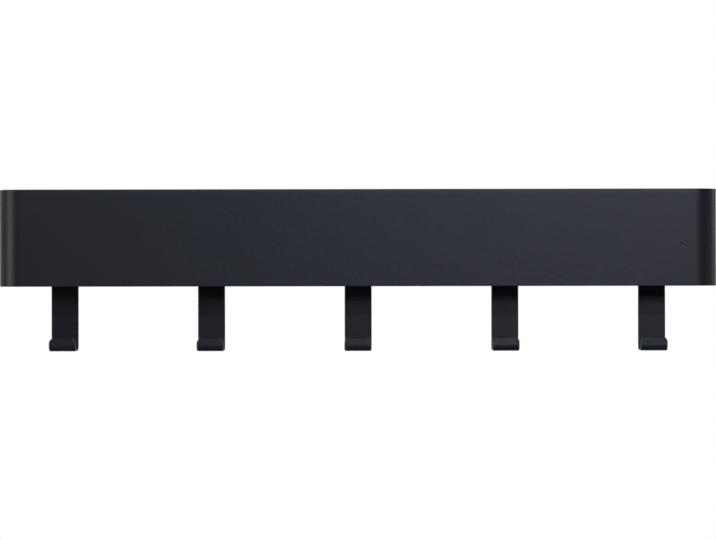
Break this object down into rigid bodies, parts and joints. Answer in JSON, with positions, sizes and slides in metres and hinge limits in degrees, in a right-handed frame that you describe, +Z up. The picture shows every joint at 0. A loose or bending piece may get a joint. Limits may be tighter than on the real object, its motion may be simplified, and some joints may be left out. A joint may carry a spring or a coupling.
{
  "type": "coat hook rail",
  "caption": "Wall-mounted sheet-steel coat rail: a long open-topped tray with rounded ends and a row of flat J-shaped strip hooks below it for coats and bags.",
  "frame": {"origin": "middle of the back plate's rear face, which lies on the wall, half way up the band", "axes": "+X along the rail to the viewer's right, +Y into the wall, +Z up; the front faces -Y"},
  "size_m": [0.6, 0.065, 0.136],
  "materials": {
    "black_powder_coat": "fine-textured satin black powder coat on sheet steel"
  },
  "bodies": {
    "root": {"front_band": "black_powder_coat", "back_plate": "black_powder_coat", "tray_floor": "black_powder_coat", "hook_1": "black_powder_coat", "hook_2": "black_powder_coat", "hook_3": "black_powder_coat", "hook_4": "black_powder_coat", "hook_5": "black_powder_coat"}
  },
  "joints": []
}
